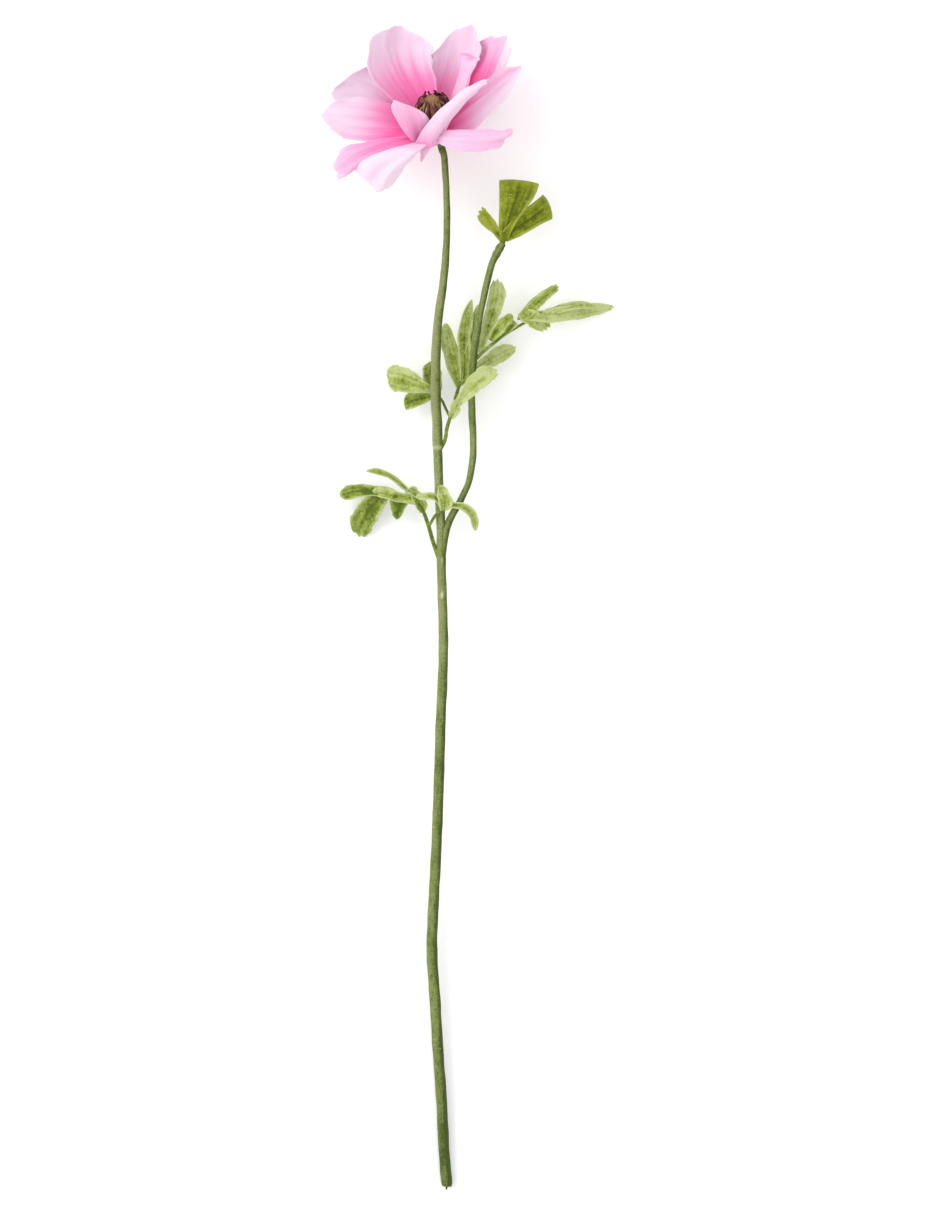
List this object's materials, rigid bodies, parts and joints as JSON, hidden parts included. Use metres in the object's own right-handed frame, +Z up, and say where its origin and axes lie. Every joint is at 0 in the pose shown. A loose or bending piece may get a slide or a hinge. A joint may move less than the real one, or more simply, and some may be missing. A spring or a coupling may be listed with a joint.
{
  "type": "artificial anemone flower stem",
  "caption": "Single pink anemone bloom on a long wired green stem with a forked side stem and lobed leaves, laid down on its side.",
  "frame": {"origin": "centre of the bounding box on the surface that the stem lies on", "axes": "+Y along the stem from its foot towards the bloom, +Z up from the surface, +X to the right seen from above with the bloom at the far end"},
  "size_m": [0.1334, 0.5283, 0.0593],
  "materials": {
    "stem": "green moulded plastic with a fine flocked, freckled surface",
    "stalk": "green moulded plastic with a fine flocked, freckled surface",
    "wire": "black annealed stem wire",
    "leaf": "flocked sage green leaf fabric with darker veins and pale edges",
    "leaf_olive": "flocked olive leaf fabric with radiating darker veins",
    "petal": "thin silk petal fabric, deep pink at the base fading to pale lilac pink edges",
    "centre": "moulded centre in brown, olive and maroon with tan highlights"
  },
  "bodies": {
    "root": {"main_stem": "stem", "flower_stalk": "stalk", "stem_wire": "wire", "leaf_spray_low": "leaf", "leaf_spray_mid": "leaf", "leaf_spray_side": "leaf", "fan_leaf": "leaf_olive", "petals": "petal", "flower_centre": "centre"}
  },
  "joints": []
}
